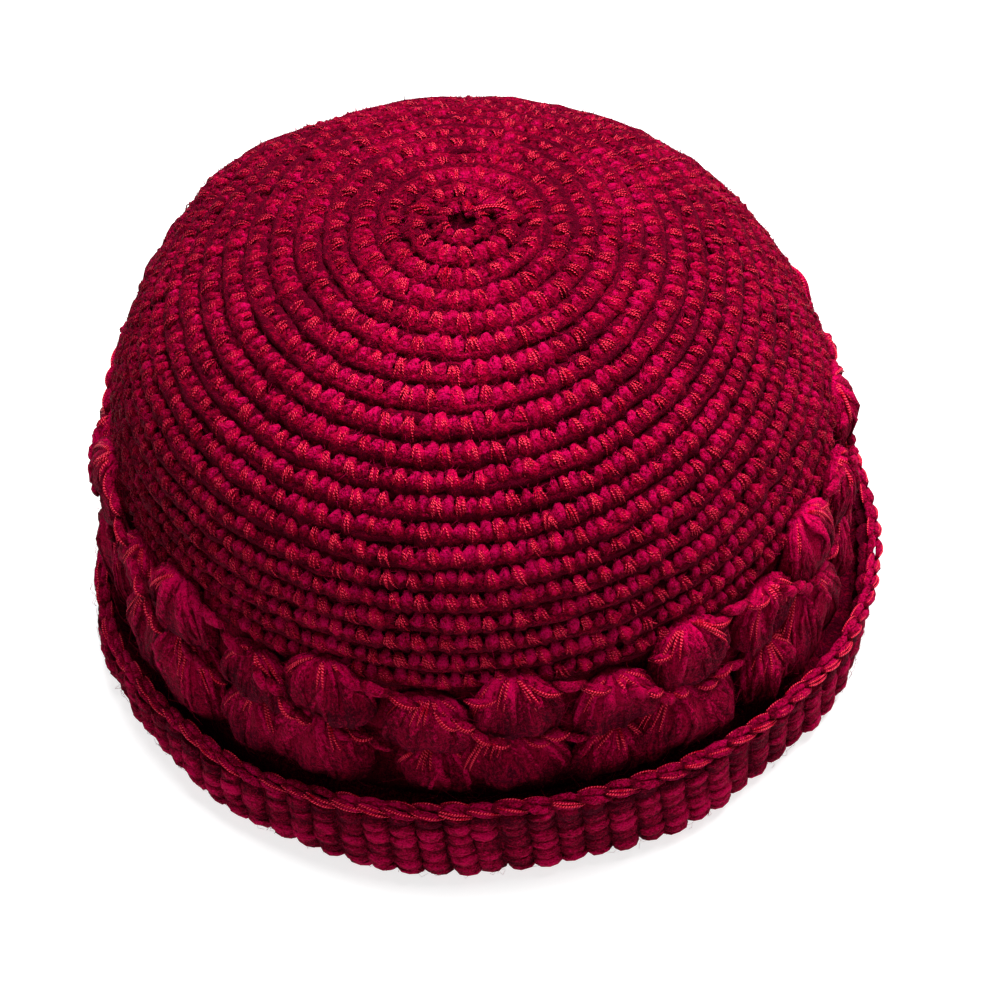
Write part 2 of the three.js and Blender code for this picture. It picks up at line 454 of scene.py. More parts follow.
def yarn_finish(name, deep, middle, bright, per_mm=0.45, radius=3.5, twist=0.07, bump=0.9, lift=0.42,
                glow=0.15, clumping=1.9):
    """Brushed yarn: a weighted sum of fibre streaks, fuzz, clumps and patches, each less a half.

    The mesh's own shade value adds painted shade and light: darker where yarn lies deep between
    stitches or low on a strand, lighter on the crests. The tone's lower half runs from
    the deep colour to the middle one, and its upper half from there to the bright one.
    """
    finish = Finish(name, roughness=0.92, sheen=0.05, sheen_tint=(0.95, 0.04, 0.15))
    set_sockets(finish.shader, {
        "Subsurface Weight": glow, "Subsurface Radius": (1.0, 0.12, 0.25), "Subsurface Scale": 0.9 * MM,
    })
    place = finish.node("ShaderNodeTexCoord").outputs["Object"]
    shade = finish.value(finish.node("ShaderNodeAttribute", {"attribute_name": "shade"}), "Fac")
    fibres = finish.fibres(per_mm, radius, twist)
    fuzz = finish.noise(place, FUZZ_SCALE, detail=1.0, roughness=0.8)
    clumps = finish.noise(place, CLUMP_SCALE, detail=2.0, roughness=0.7)
    patches = finish.noise(place, PATCH_SCALE, detail=1.0)
    tone = (fibres - 0.5) * FIBRE_CONTRAST + (fuzz - 0.5) * FUZZ_CONTRAST
    tone = tone + (clumps - 0.5) * clumping + (patches - 0.5) * PATCH_CONTRAST
    # The shade value paints light and shade into the tone.
    tone = (tone + (shade - 0.5) + lift).clamped()
    low = finish.mix((tone * 2.0).clamped(), deep, middle)
    colour = finish.mix((tone * 2.0 - 1.0).clamped(), low, bright)
    finish.feed(finish.shader.inputs["Base Color"], colour)
    finish.bump(fibres * 0.6 + fuzz * 0.5 + clumps, bump, 1.1)
    return finish.material


def thread_finish(name):
    """Twisted thread: a sine makes small bright beads, red lies between them, and whole lengths fade.

    The bright beads are a painted glint. A shade value below a half dulls both the beads and the red
    between them with painted shade.
    """
    finish = Finish(name, roughness=0.45, sheen=0.0, sheen_tint=(1.0, 0.1, 0.15))
    set_sockets(finish.shader, {"Specular IOR Level": 0.02})
    along, turn = finish.strand()
    bead = (along * (TURN / BEAD_PITCH) + turn * TURN).sine() * 0.5 + 0.5
    fade = finish.noise(finish.node("ShaderNodeTexCoord").outputs["Object"], FADE_SCALE)
    light = finish.value(finish.node("ShaderNodeAttribute", {"attribute_name": "shade"}), "Fac") * 2.0
    # Painted glint at each bead crest, dimmed where painted shade falls.
    shine = bead ** 3.0 * ((fade - 0.5) * FADE_CONTRAST + 1.0).clamped() * light
    red = finish.mix(light.clamped(), DEEP, RED)
    finish.feed(finish.shader.inputs["Base Color"], finish.mix(shine.clamped(), red, RED_GLINT))
    finish.bump(bead, 0.9, 0.3)
    return finish.material


# %% The yarns
crown_yarn = yarn_finish("crown_yarn", DEEP, (0.180, 0.0003, 0.0118), (0.38, 0.0009, 0.052))
tuft_yarn = yarn_finish("tuft_yarn", DEEP, (0.195, 0.0003, 0.0104), (0.41, 0.0008, 0.042))
puff_yarn = yarn_finish("puff_yarn", (0.035, 0.0002, 0.0056), (0.17, 0.0002, 0.014), (0.30, 0.0004, 0.030),
                        per_mm=0.22, radius=17.0, twist=0.0, lift=0.46, clumping=1.4)
bar_yarn = yarn_finish("bar_yarn", (0.040, 0.0002, 0.0054), (0.165, 0.0003, 0.014), (0.40, 0.0008, 0.048),
                       per_mm=1.5, radius=0.9, twist=0.0, lift=0.40, clumping=1.2)
edge_yarn = yarn_finish("edge_yarn", DEEP, (0.17, 0.0003, 0.013), (0.48, 0.0009, 0.060),
                        per_mm=0.28, radius=3.0, twist=0.16, bump=1.3, lift=0.42)
loop_yarn = yarn_finish("loop_yarn", DEEP, CRIMSON, (0.46, 0.0008, 0.055),
                        per_mm=0.28, radius=3.0, twist=0.16, bump=1.3, lift=0.50)
# A darker copy of the yarn, as painted shade on fabric behind the strands and inside the hat.
shaded_back_yarn = yarn_finish("shaded_back_yarn", (0.030, 0.0002, 0.0044), (0.14, 0.0002, 0.011), (0.26, 0.0004, 0.024),
                        per_mm=0.3, radius=150.0, twist=0.0, clumping=1.4)
fan_yarn = yarn_finish("fan_yarn", (0.030, 0.0002, 0.0046), (0.170, 0.0003, 0.014), (0.54, 0.0009, 0.066),
                       lift=0.44, clumping=1.4)
thread = thread_finish("red_thread")
fibre = yarn_finish("loose_fibre", CRIMSON, BRIGHT, (0.60, 0.004, 0.08), lift=0.46, glow=0.0)
yarns = (crown_yarn, tuft_yarn, puff_yarn, bar_yarn, edge_yarn, loop_yarn, shaded_back_yarn, fan_yarn, fibre)
print("finishes:", [finish.name for finish in (*yarns, thread)])

# %% [markdown]
# ## The crown's rounds
# A crochet stitch shows two plump arms: a plain one that leans right up to the crest of the round,
# and one beside it that leans left, carries the red thread and reaches a little lower. Together
# they make the zigzag top of a round. A bump would lose the deep pits between rounds, so each arm
# is a short fat strand of its own. One closed strand behind joins the arms of a round into one
# ridge, and another runs low below them, dark with painted shade.


# %% Places of the stitches
def wander(count, per_stitch, amount):
    """Random values at the stitches, eased from each one to the next round a closed round."""
    values = rng.normal(0, amount, count)
    at = np.arange(count * per_stitch) / per_stitch
    i = np.floor(at).astype(int)
    share = eased(at - i)
    return values[i % count] * (1 - share) + values[(i + 1) % count] * share


def round_arc(number):
    """The distance from the top, down the side line, of a round's crest."""
    return FIRST_RIDGE + number * ROUND_PITCH


def stitches_in(number):
    """The stitches of a round: a few more in each, up to the most."""
    return min(STITCHES_ADDED * (number + 1), MOST_STITCHES)


round_shift = np.cumsum(rng.uniform(0.15, 0.45, ROUNDS))
stitch_drift = [np.stack([rng.normal(0, 0.05, n), rng.normal(0, 0.25, n), rng.uniform(-0.3, 0.3, n)])
                for n in map(stitches_in, range(ROUNDS))]
print("stitches in the rounds:", [stitches_in(number) for number in range(ROUNDS)])

# %% The arms' measures
ARM_SHARE = [0.0, 0.25, 0.5, 0.75, 1.0]
# At five places along an arm from its upper end: share of a stitch round, mm down, mm out, and radius.
PLAIN_ARM = dict(
    at=[0.08, 0.05, 0.0, -0.06, -0.11], down=[-3.3, -2.3, -0.9, 0.8, 2.5],
    out=[-1.9, -1.42, -1.42, -2.15, -3.3], radius=[0.65, 1.20, 1.75, 1.95, 1.60],
)
THREADED_ARM = dict(
    at=[0.46, 0.47, 0.50, 0.55, 0.62], down=[-3.1, -2.1, -0.6, 1.1, 3.0],
    out=[-1.9, -1.36, -1.36, -2.05, -3.2], radius=[0.70, 1.30, 1.90, 2.00, 1.60],
)
BACK_STRAND = dict(down=3.6, out=-3.5, radius=1.5)
BODY_STRAND = dict(down=0.9, out=-2.1, radius=1.35)
CENTRE_ARC = 3.8
CENTRE_THREAD_ARC = 3.6


def on_arm(share, values):
    """A measure of an arm at a share of its length, between those at its five places."""
    return np.interp(share, ARM_SHARE, values)


# %% How the fabric lies
FLATTEST = 0.35
FLAT_FROM = 0.64
SIDE_SINK = 0.55
FLAT_SINK = 0.8


def openness(number, theta):
    """How open the fabric lies, by round and by angle: fully at the top, and not at the front's foot.

    At the back it is at least 0.6 times the root of minus the angle's cosine. Open fabric lifts the
    low strands and weakens the painted shade.
    """
    at_back = 0.6 * np.clip(-np.cos(theta), 0, 1) ** 0.5
    return np.maximum(np.interp(number, [0, 5, 11, 16], [1.0, 0.7, 0.2, 0.0]), at_back)


def flatness(theta):
    """The share of a stitch's own relief that the pull at the sides takes away.

    It grows as the angle's cosine falls from that of 50 degrees to nothing at the side.
    """
    return FLATTEST * np.clip((FLAT_FROM - np.cos(theta)) / FLAT_FROM, 0, 1)


def sinking(theta):
    """How much deeper the stitches lie at an angle: 1 - cos and the flatness, each times its depth."""
    return SIDE_SINK * (1 - np.cos(theta)) + FLAT_SINK * flatness(theta)


def painted_side_shade(number, theta):
    """How much painted shade falls on the stitches, from sines and cosines of the angle.

    The sides darken by sin^2, most at the left and in low rounds, and the back by minus the cosine.
    """
    sides = np.interp(number, [8, 18], [0.23, 0.46]) * np.sin(theta) ** 2 * (1 - 0.30 * np.sin(theta))
    return sides + np.interp(number, [2, 8], [0.04, 0.26]) * np.clip(-np.cos(theta), 0, 1)


# %% Rounds of arms and strands
def arm_round(number, arm, samples=7, sides=6):
    """The arms of one round: a line between two ends that bows outward, fat below its middle."""
    count = stitches_in(number)
    share = np.linspace(0, 1, samples)
    along, down, out = stitch_drift[number][:, :, None]
    size = rng.uniform(0.86, 1.14, (count, 1))
    slant = rng.normal(0, 0.09, (count, 1))
    at = np.arange(count)[:, None] + along + on_arm(share, arm["at"]) + slant * (share - 0.5)
    down = down + on_arm(share, arm["down"]) * size
    theta = TURN / count * (at + round_shift[number])
    depth = np.interp(number, [0, 2], [0.6, 1.0])
    relief = depth * (1 - flatness(theta))
    out = out + relief * on_arm(share, arm["out"]) + rng.uniform(-0.15, 0.15, (count, 1))
    out = out - sinking(theta)
    arc = np.maximum(round_arc(number) + down, CENTRE_ARC)
    width = np.interp(number, [0, 1, 3], [0.72, 0.86, 1.0])
    radius = width * size * on_arm(share, arm["radius"])
    shape = tubes(on_side(theta, arc, out), side_normal(theta, arc), radius, sides, flat=0.75,
                  lumps=0.15, out=out, down=down, open_share=openness(number, theta))
    # Painted shade at the sides and the back.
    side_shade = np.repeat(painted_side_shade(number, theta).ravel(), sides)
    shape["shade"] = np.clip(shape["shade"] - side_shade, 0, 1)
    return shape


def closed_round(number, strand, rise, per_stitch, sides=6):
    """One closed strand round the dome, waving a little up and down and in and out."""
    count = stitches_in(number)
    theta = TURN / count * np.arange(count * per_stitch) / per_stitch
    down = strand["down"] + wander(count, per_stitch, 0.35)
    out = strand["out"] + rise * openness(number, theta) + wander(count, per_stitch, 0.25)
    arc = round_arc(number) + down
    width = strand["radius"] * np.interp(number, [0, 2], [0.7, 1.0])
    radius = width + wander(count, per_stitch, 0.12)
    normal = side_normal(theta, arc)
    shape = tubes(on_side(theta, arc, out)[None], normal[None], radius[None], sides, closed=True,
                  lumps=0.09, out=out[None], down=down[None], open_share=openness(number, theta)[None])
    # Painted shade at the sides and the back, as on the arms.
    shape["shade"] = np.clip(shape["shade"] - np.repeat(painted_side_shade(number, theta), sides), 0, 1)
    return shape


rounds = range(ROUNDS)
plain_arms = joined([arm_round(n, PLAIN_ARM) for n in rounds])
piece_from("crown_plain_arms", plain_arms, crown_yarn)
threaded_arms = joined([arm_round(n, THREADED_ARM) for n in rounds])
piece_from("crown_threaded_arms", threaded_arms, tuft_yarn)
low_strands = joined([closed_round(n, BACK_STRAND, 0.8, 4) for n in rounds])
piece_from("crown_low_strands", low_strands, crown_yarn)
body_strands = joined([closed_round(n, BODY_STRAND, 0.0, 2) for n in rounds])
piece_from("crown_body_strands", body_strands, crown_yarn)

# %% [markdown]
# ## The fabric behind the stitches
# Real crochet has no see-through holes here, and its inside shows the reverse of every stitch as
# short bars in columns. A solid shell stands for both: its outer face lies just behind the strands,
# and its inner face carries the bars as relief. Its yarn is a darker copy of the crown's, as painted
# shade.


# %% Shells
SHELL_OUT = -2.9
SHELL_IN = -3.9
DIMPLE = 2.4
DIMPLE_REACH_OUT = 2.0
DIMPLE_REACH_IN = 4.0
BAR_HEIGHT = 1.1
CROWN_END = 124.9
UPPER_BAND_SHARE = 0.46


def bar_relief(rows, columns):
    """Rounded bars: the product of two humps, each the square root of the size of a sine."""
    return np.sqrt(np.abs(np.sin(np.pi * rows))) * np.sqrt(np.abs(np.sin(np.pi * columns)))


def side_shell(first_arc, last_arc, outer_rows, inner_rows, closed, columns=252):
    """A sheet with two faces: down the side outside, and back up inside with bars of relief.

    A dimple at the very top, exp(-(arc / reach)^2), leaves the small hole in the middle of the first
    round, and painted shade darkens the sheet towards it in the same way.
    """
    theta = -np.arange(columns)[None] / columns * TURN
    arc = np.linspace(first_arc, last_arc, outer_rows)[:, None]
    outer_out = SHELL_OUT - DIMPLE * np.exp(-(arc / DIMPLE_REACH_OUT) ** 2)
    outer = on_side(theta, arc, outer_out + 0 * theta)
    inner_arc = np.linspace(last_arc, first_arc, inner_rows)[:, None]
    bars = bar_relief((inner_arc - FIRST_RIDGE) / ROUND_PITCH, theta / TURN * MOST_STITCHES)
    inner_out = SHELL_IN - DIMPLE * np.exp(-(inner_arc / DIMPLE_REACH_IN) ** 2)
    inner = on_side(theta, inner_arc, inner_out - BAR_HEIGHT * bars)
    rings = np.concatenate([outer, inner])[None]
    along = np.concatenate([arc[:, 0], 2 * last_arc - inner_arc[:, 0], [2 * last_arc]])[None]
    shape = rings_mesh(rings, along, closed)
    # Painted shade that darkens towards the hole in the middle.
    middle = 0.5 * np.exp(-(np.concatenate([arc, inner_arc]) / DIMPLE_REACH_IN) ** 2)
    shape["shade"] = shape["shade"] - np.broadcast_to(middle, rings.shape[1:3]).ravel()
    return shape


piece_from("crown_back", side_shell(0.15, CROWN_END, 28, 101, False), shaded_back_yarn, ["crown"])
band_middle = CROWN_END + (ARC[-1] - CROWN_END) * UPPER_BAND_SHARE
piece_from("upper_puff_back", side_shell(CROWN_END - 0.4, band_middle, 6, 18, True), shaded_back_yarn,
           ["upper_puff_round"])
piece_from("lower_puff_back", side_shell(band_middle - 0.3, ARC[-1], 6, 20, True), shaded_back_yarn,
           ["lower_puff_round"])

# %% [markdown]
# ## The red thread on the stitches
# The thread is carried with the yarn, so it shows wherever the yarn turns over: each threaded arm
# has up to seven short runs of beads, close together at the crest and fanning apart below. Each run
# is an open strand over a part of the arm's length, at the height of the arm's surface. Chance
# leaves out some of the runs, and more of them in the larger rounds.

# %% Thread runs
THREAD_DOWN = [-3.1, -2.1, -0.6, 1.1, 3.0]
THREAD_OUT = [-1.3, -0.36, 0.12, -0.52, -1.9]
THREAD_SPREAD = [-0.21, -0.14, -0.07, 0.0, 0.07, 0.14, 0.21]
THREAD_RADIUS = 0.20
THREAD_SIDES = 4


def thread_round(number, samples=4):
    """Open strands over the threaded arms: the arm's own line, moved sideways and out to its surface.

    Each run starts at a random share q of the arm, and its sideways place grows with q.
    """
    count = stitches_in(number)
    share = np.linspace(0, 1, samples)
    parts = []
    for spread in THREAD_SPREAD:
        shown = rng.random(count) < np.interp(number, [0, 4, 8], [0.95, 0.8, 0.62])
        along, down, out = stitch_drift[number][:, shown, None]
        stitch = np.arange(count)[shown][:, None]
        n = len(stitch)
        q = rng.uniform(0.0, 0.3, (n, 1)) + share * rng.uniform(0.35, 0.75, (n, 1))
        fan = spread * (0.30 + 1.2 * q) + rng.normal(0, 0.03, (n, 1))
        fan = fan + rng.normal(0, 0.16, (n, 1)) * (q - 0.4)
        at = stitch + along + on_arm(q, THREADED_ARM["at"]) + fan
        arc = np.maximum(round_arc(number) + down + on_arm(q, THREAD_DOWN), CENTRE_THREAD_ARC)
        theta = TURN / count * (at + round_shift[number])
        out = out + on_arm(q, THREAD_OUT) - 8 * fan**2 + rng.normal(0, 0.08, (n, 1))
        out = out - sinking(theta) - flatness(theta) * on_arm(q, THREADED_ARM["out"])
        radius = THREAD_RADIUS * np.interp(share, [0, 0.15, 0.8, 1], [0.7, 1, 1, 0.5])
        part = tubes(on_side(theta, arc, out), side_normal(theta, arc), radius[None], THREAD_SIDES)
        # Painted shade on the thread: more at the sides and back, and in the lowest rounds.
        painted_thread_shade = 0.6 * painted_side_shade(number, theta) + np.interp(number, [10, 18], [0, 0.10])
        part["shade"] = np.clip(0.5 - np.repeat(painted_thread_shade.ravel(), THREAD_SIDES), 0.1, 0.5)
        parts.append(part)
    return joined(parts)


crown_threads = joined([thread_round(number) for number in rounds])
piece_from("crown_thread", crown_threads, thread)

# %% [markdown]
# ## The loose strand at the centre
# The starting loop is drawn almost shut, and one loose strand lies across it towards the right.
# It is short enough to place one by one: five points over the top, with two threads along it.


# %% Loose strand
def on_top(x, y, out):
    """The point and the fabric's direction near the top, from distances right and back of the middle."""
    theta, arc = np.arctan2(x, -y), np.hypot(x, y)
    return on_side(theta, arc, out), side_normal(theta, arc)


# Right of the middle, back of it, and out of the fabric.
LOOSE_POINTS = np.array([
    (1.0, 2.9, -2.6), (3.4, 3.1, -1.3), (6.0, 3.0, -0.8), (8.8, 2.9, -0.9), (11.4, 2.6, -2.2),
])
LEAF_SIDES = 8
LOOSE_SAMPLES = 17
LOOSE_RADIUS = 1.25
LOOSE_THREAD_RADIUS = 0.25
smooth = np.linspace(0, 4, LOOSE_SAMPLES)
loose_x, loose_y, loose_out = (np.interp(smooth, np.arange(5), LOOSE_POINTS[:, k]) for k in range(3))
loose_out = np.convolve(np.pad(loose_out, 2, mode="edge"), np.ones(5) / 5, mode="valid")
path, normal = on_top(loose_x, loose_y, loose_out)
width = LOOSE_RADIUS * np.sin(np.pi * np.linspace(0.12, 0.88, LOOSE_SAMPLES)) ** 0.5
loose_shape = tubes(path[None], normal[None], width[None], LEAF_SIDES, flat=0.9, lumps=0.06)
piece_from("centre_strand", loose_shape, loop_yarn)
loose_threads = []
for side in (-0.5, 0.15):
    path, normal = on_top(loose_x[2:-1], loose_y[2:-1] + side, loose_out[2:-1] + 1.15)
    loose_threads.append(tubes(path[None], normal[None], LOOSE_THREAD_RADIUS, THREAD_SIDES))
piece_from("centre_thread", joined(loose_threads), thread)

# %% [markdown]
# ## The puffs
# A puff is a fan of long loops gathered at its top, so it is narrow and tight there, swells below
# and tucks under. It is soft enough to be one rounded form rather than loops: rings run from the
# gathered top to the tucked foot, and folds and lumps follow the rings' points down the fan. Thin
# strands laid on that form, a little astray, give it back its loops.

# %% Places of the puffs
PUFFS = 26
FIRST_PUFF = np.radians(5.6)
puff_number = np.arange(2 * PUFFS)
puff_is_lower = puff_number >= PUFFS
puff_is_high = puff_number % 2 == 0


def by_kind(upper_high, upper_low, lower_large, lower_small):
    """A measure for each puff: the upper ring alternates high and low, the lower one large and small."""
    upper_value = np.where(puff_is_high, upper_high, upper_low)
    lower_value = np.where(puff_is_high, lower_large, lower_small)
    return np.where(puff_is_lower, lower_value, upper_value)


puff_half_width = by_kind(12.6, 12.2, 16.5, 10.5)
puff_theta = FIRST_PUFF + TURN / PUFFS * (puff_number % PUFFS)
puff_theta = puff_theta + np.radians(by_kind(-2.0, -0.8, -3.6, -0.8)) + rng.normal(0, 0.010, 2 * PUFFS)
from_front = np.abs(degrees_round(puff_theta))
lower_foot = np.interp(from_front, [0, 30, 60, 90], [24.8, 21.0, 13.5, 12.0])
lower_proud = np.interp(from_front, [0, 30, 60, 80, 100], [6.8, 7.8, 9.0, 8.4, 6.8])
puff_top = by_kind(66.0, 59.4, 47.2, 42.0) + rng.normal(0, 0.4, 2 * PUFFS)
puff_foot = by_kind(44.4, 39.8, lower_foot, lower_foot + 1.0)
puff_half_height = (puff_top - puff_foot) / 2
puff_arc = np.interp(-(puff_top + puff_foot) / 2, -SIDE_Z, ARC)
puff_size = rng.normal(1, 0.05, 2 * PUFFS)
puff_proud = by_kind(6.4, 6.4, lower_proud, lower_proud - 1.2)
puff_slant = rng.normal(0, 1.8, 2 * PUFFS)
puff_phase = rng.uniform(0, TURN, (5, 2 * PUFFS))
upper, lower = puff_number[:PUFFS], puff_number[PUFFS:]
print("puffs:", len(puff_number), "from", puff_foot.min().round(1), "to", puff_top.max().round(1), "mm up")

# %% The form of a puff
BEHIND_RIGHT = 70
BEHIND_LEFT = 88
BEHIND_REACH = 28
PUFF_SEAT = 1.2


def behind(theta):
    """How far round to the back an angle is: degrees past a start on each side, over a reach."""
    degrees = degrees_round(theta)
    return np.clip(np.maximum(degrees - BEHIND_RIGHT, -degrees - BEHIND_LEFT) / BEHIND_REACH, 0, 1)


def on_puff(which, turn, b, lift=0.0):
    """Point of a puff: b goes from its top to its foot, and turn goes round that line from the front.

    Down is -cos(pi b), width is a power of sin(pi b) that is held narrow near the top, and height is
    a power of sin(pi b) that rises fast there. Folds are a cosine of the turn; lumps are three waves.
    The slant and a slow sine of b move each height sideways.
    """
    theta, arc, size = puff_theta[which], puff_arc[which], puff_size[which]
    phase = [row[which] for row in puff_phase]
    swell = np.sin(np.pi * b)
    down = -puff_half_height[which] * np.cos(np.pi * b)
    width = puff_half_width[which] * size * swell**0.62 * (0.60 + 0.40 * np.minimum(b * 1.5, 1))
    front = np.cos(turn)
    tuck = (1.10 - 0.45 * b) * (1 - 0.55 * behind(theta))
    rise = puff_proud[which] * size * tuck * np.sin(np.pi * b**1.25) ** 0.75 * np.maximum(front, 0) ** 0.6
    height = np.where(front > 0, rise, 2.0 * front)
    waver = 1.4 * np.sin(3 * b + phase[1])
    folds = 0.8 * np.cos(9 * turn + phase[0] + waver) * swell**0.5 * (1.1 - 0.5 * b)
    lumps = 0.62 * (np.sin(3 * turn + 5 * b + phase[2]) + np.sin(5 * turn - 7 * b + phase[3])
                    + np.sin(8 * b + 2 * turn + phase[4])) * swell
    height = height + np.where(front > 0, folds + lumps, 0) * np.maximum(front, 0) ** 0.5
    across = width * np.sin(turn) + 0.6 * swell * np.sin(2 * b + phase[1]) + puff_slant[which] * (b - 0.3)
    return on_side(theta - across / BAND_RADIUS, arc + down, height - PUFF_SEAT + lift)


def puff_normal(which, b=0.0):
    """The fabric's outward direction behind each puff, once for each b."""
    return side_normal(puff_theta[which], puff_arc[which] + 0 * b)


def puff_shade(b):
    """Painted light and shade: bright at the gathered top, and falling fast towards the foot."""
    return np.clip(1.05 - 1.35 * b, 0, 1)


def puff_blobs(which, rows=14, columns=32):
    """The closed forms of the numbered puffs."""
    b = np.linspace(0.012, 0.988, rows)
    turn = np.arange(columns) / columns * TURN
    rough = rng.normal(0, 0.2, (len(which), rows, columns))
    rings = on_puff(which[:, None, None], turn[None, None, :], b[None, :, None], rough)
    along = np.broadcast_to(rng.uniform(0, 90, (len(which), 1)) + b * 26, (len(which), rows))
    shape = rings_mesh(rings, along, False)
    # Painted shade: bright at the top of each puff, dark towards its foot.
    shape["shade"] = np.broadcast_to(puff_shade(b)[None, :, None], rings.shape[:3]).ravel()
    return shape


# %% Fans of strands
def fan_strands(which, per_puff=20, samples=6, sides=6):
    """Thin strands laid down each puff from its gathered top: even turns round it, each a little astray."""
    puff = np.repeat(which, per_puff)[:, None]
    n = len(puff)
    share = np.linspace(0, 1, samples)
    stray = rng.normal(0, 1, (6, n, 1))
    turn = np.tile(np.linspace(-1.5, 1.5, per_puff), len(which))[:, None] + 0.07 * stray[0]
    turn = turn + 0.16 * stray[1] * share + 0.10 * stray[2] * np.sin(TURN * share)
    b = 0.05 + share * rng.uniform(0.40, 0.85, (n, 1))
    lift = -0.10 + 0.20 * stray[3] + 0.25 * np.sin(np.pi * share)
    radius = (0.95 + 0.20 * stray[4]) * np.interp(share, [0, 0.15, 0.6, 1], [0.6, 1.0, 1.0, 0.4])
    path = on_puff(puff, turn, b, lift)
    shape = tubes(path, puff_normal(puff, b), np.maximum(radius, 0.1), sides, flat=0.55, lumps=0.14)
    # Painted shade as on the puffs, with a random change for each strand.
    shape["shade"] = np.repeat((puff_shade(b) + 0.12 * stray[5]).ravel(), sides)
    return shape


piece_from("upper_puffs", puff_blobs(upper), puff_yarn)
piece_from("lower_puffs", puff_blobs(lower), puff_yarn)
piece_from("upper_puff_fans", fan_strands(upper), fan_yarn)
piece_from("lower_puff_fans", fan_strands(lower), fan_yarn)


# %% [markdown]
# ## Threads and chain loops of the puffs
# The red thread is gathered with each puff, so it fans out from its top in pairs. Between the puffs
# the yarn runs on as chain loops, which hang over the band from one gathered top to the next. A
# row of leaf-shaped strands, each swaying to the other side, is a chain. Towards the back the
# fabric is pulled smooth, and the loops lie down on it.

# %% Threads of the puffs
# Pairs of thread on a puff: turn from its front line, chance and length as a share of the puff.
PUFF_THREADS = [
    (-1.2, 0.85, 0.34), (-0.6, 0.7, 0.30), (0.0, 0.55, 0.22), (0.5, 0.6, 0.26), (1.2, 0.9, 0.36),
]
PUFF_THREAD_RADIUS = 0.42
PUFF_THREAD_GAP = 0.085


def puff_threads(which):
    """Pairs of thread from the gathered top: some follow the puff's shoulders, some run down its front."""
    share = np.linspace(0, 1, 9)
    radius = PUFF_THREAD_RADIUS * np.interp(share, [0, 0.1, 0.6, 1], [0.7, 1, 0.85, 0.3])
    parts = []
    for middle, chance, reach in PUFF_THREADS:
        shown = which[rng.random(len(which)) < chance]
        start = middle + rng.normal(0, 0.12, len(shown))
        length = reach * rng.uniform(0.7, 1.3, len(shown))
        bend = rng.normal(0, 0.12, (len(shown), 1))
        for side in (-PUFF_THREAD_GAP, PUFF_THREAD_GAP):
            turn = (start + side)[:, None] * (0.85 + 0.15 * share) + bend * share
            b = 0.07 + length[:, None] * share
            path = on_puff(shown[:, None], turn, b, 0.75)
            parts.append(tubes(path, puff_normal(shown[:, None], b), radius[None], THREAD_SIDES))
    return joined(parts)


# %% Chain loops
LEAF_SHARE = np.linspace(0, 1, 8)
LEAF_OVERLAP = 1.35
LEAF_SWAY = 0.7


def leaf_path(theta, arc, across, down, out):
    """Short strands that bend outward as half a sine between two ends, the far end a little higher.

    Towards the back they lose most of that height and lie down on the fabric.
    """
    share = LEAF_SHARE
    shift = across[:, None] * (share - 0.5)
    sag = np.sin(np.pi * share)
    at_theta = theta[:, None] + shift / BAND_RADIUS
    at_arc = arc[:, None] + down[:, None] * (share - 0.5) + 0.5 * sag
    lying = behind(at_theta)
    out = (out[:, None] + 0.7 * sag + 0.9 * (share - 0.5)) * (1 - 0.7 * lying) - 1.5 * lying
    width = np.sin(np.pi * (0.06 + 0.88 * share)) ** 0.65
    return on_side(at_theta, at_arc, out), side_normal(at_theta, at_arc), width[None]


def leaf_shade(share, first, middle, last, count):
    """The painted shade of leaf-shaped strands: one level at their middle, and others at their two ends."""
    along = np.interp(share, [0, 0.3, 0.7, 1], [first, middle, middle, last])
    return np.tile(np.repeat(along, LEAF_SIDES), count)


chain_thread_parts = []


def chain_leaves(start, end, leaves, radius, fade=0.0):
    """Leaf-shaped loops in a row between two sets of points, each given as angle, arc and height out.

    A pair of threads runs along about half of the loops, on their outer faces.
    """
    parts = []
    for k in range(leaves):
        middle = start + (end - start) * (k + 0.5) / leaves
        step = (end - start) / leaves
        n = step.shape[1]
        sway = LEAF_SWAY * (-1) ** k
        path, normal, width = leaf_path(
            middle[0], middle[1] + sway + rng.normal(0, 0.4, n), BAND_RADIUS * step[0] * LEAF_OVERLAP,
            step[1] * LEAF_OVERLAP + 1.8 * sway, middle[2] + rng.normal(0, 0.4, n),
        )
        part = tubes(path, normal, radius * width, LEAF_SIDES, flat=0.8, lumps=0.14)
        # Painted shade: darker at the tips, and each later leaf darker by the fade step, down the chain.
        part["shade"] = np.clip(leaf_shade(LEAF_SHARE, 0.2, 1.0, 0.3, n) - 0.08 - fade * k, 0, 1)
        parts.append(part)
        shown = rng.random(n) < 0.5
        across = unit(np.cross(normal, np.gradient(path, axis=1)))
        for side in (-0.25, 0.15):
            line = path + radius * width[..., None] * (0.80 * normal + side * across)
            chain_thread_parts.append(tubes(line[shown], normal[shown], 0.3 * width, THREAD_SIDES))
    return joined(parts)


# %% Places of the chains
def puff_tops(which):
    """The gathered top of each puff as angle, arc and height out."""
    return np.stack([puff_theta[which], puff_arc[which] - puff_half_height[which], 0 * puff_theta[which]])


def moved(points, degrees, down, out):
    """Points given as angle, arc and height out, moved round, down and out."""
    return points + np.array([np.radians(degrees), down, out])[:, None]


